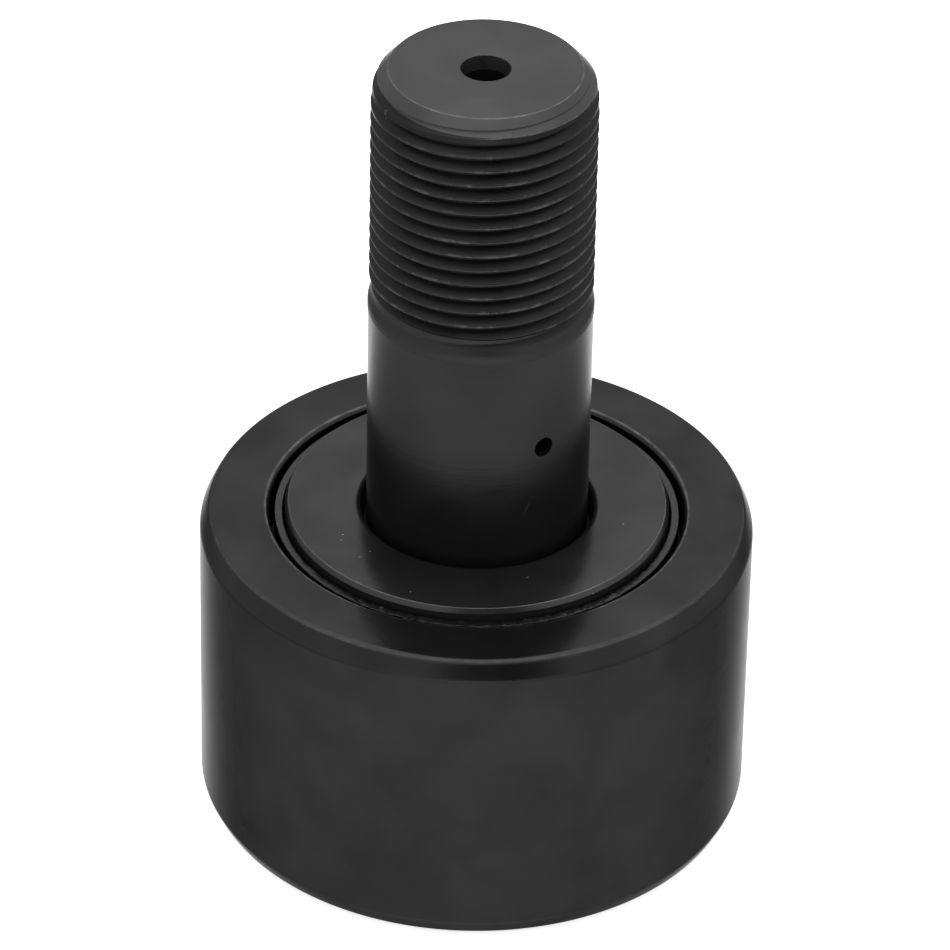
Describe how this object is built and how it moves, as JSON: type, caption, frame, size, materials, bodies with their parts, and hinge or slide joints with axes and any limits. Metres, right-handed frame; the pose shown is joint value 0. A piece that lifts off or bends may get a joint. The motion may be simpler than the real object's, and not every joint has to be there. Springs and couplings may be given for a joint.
{
  "type": "cam follower",
  "caption": "Stud-type cam follower: a thick steel roller on a full set of needles round a stud with a plain shank, a threaded end, grease holes and a hex key socket.",
  "frame": {"origin": "centre of the roller's lower face, on the stud's axis", "axes": "+Z along the stud's axis towards its threaded end; +X and +Y square to it, with the shank's grease hole between +X and -Y"},
  "size_m": [0.0636, 0.0636, 0.096],
  "materials": {
    "stud_steel": "black oxide, satin, worn bright on the thread crests and edges",
    "ring_steel": "black oxide over fine grinding, satin, worn bright on the corner chamfers",
    "plate_steel": "black oxide, satin to semi-gloss, turned face",
    "seal": "matt grey, greasy",
    "needle_steel": "bright, finely ground and oiled"
  },
  "bodies": {
    "stud": {"stud": "stud_steel", "end_plate": "plate_steel"},
    "roller": {"outer_ring": "ring_steel", "thread_side_seal": "seal", "head_side_seal": "seal"},
    "needle_set": {"needle_01": "needle_steel", "needle_02": "needle_steel", "needle_03": "needle_steel", "needle_04": "needle_steel", "needle_05": "needle_steel", "needle_06": "needle_steel", "needle_07": "needle_steel", "needle_08": "needle_steel", "needle_09": "needle_steel", "needle_10": "needle_steel", "needle_11": "needle_steel", "needle_12": "needle_steel", "needle_13": "needle_steel", "needle_14": "needle_steel", "needle_15": "needle_steel", "needle_16": "needle_steel", "needle_17": "needle_steel", "needle_18": "needle_steel", "needle_19": "needle_steel", "needle_20": "needle_steel", "needle_21": "needle_steel", "needle_22": "needle_steel", "needle_23": "needle_steel", "needle_24": "needle_steel", "needle_25": "needle_steel", "needle_26": "needle_steel", "needle_27": "needle_steel", "needle_28": "needle_steel"}
  },
  "joints": [
    {"name": "roller_spin", "type": "hinge", "parent": "stud", "child": "roller", "pos_m": [0, 0, 0.01905], "axis": [0, 0, 1], "continuous": true},
    {"name": "needle_orbit", "type": "hinge", "parent": "stud", "child": "needle_set", "pos_m": [0, 0, 0.01905], "axis": [0, 0, 1], "continuous": true}
  ],
  "couplings": [
    {"joint": "needle_orbit", "follows": "roller_spin", "ratio": 0.5556}
  ]
}
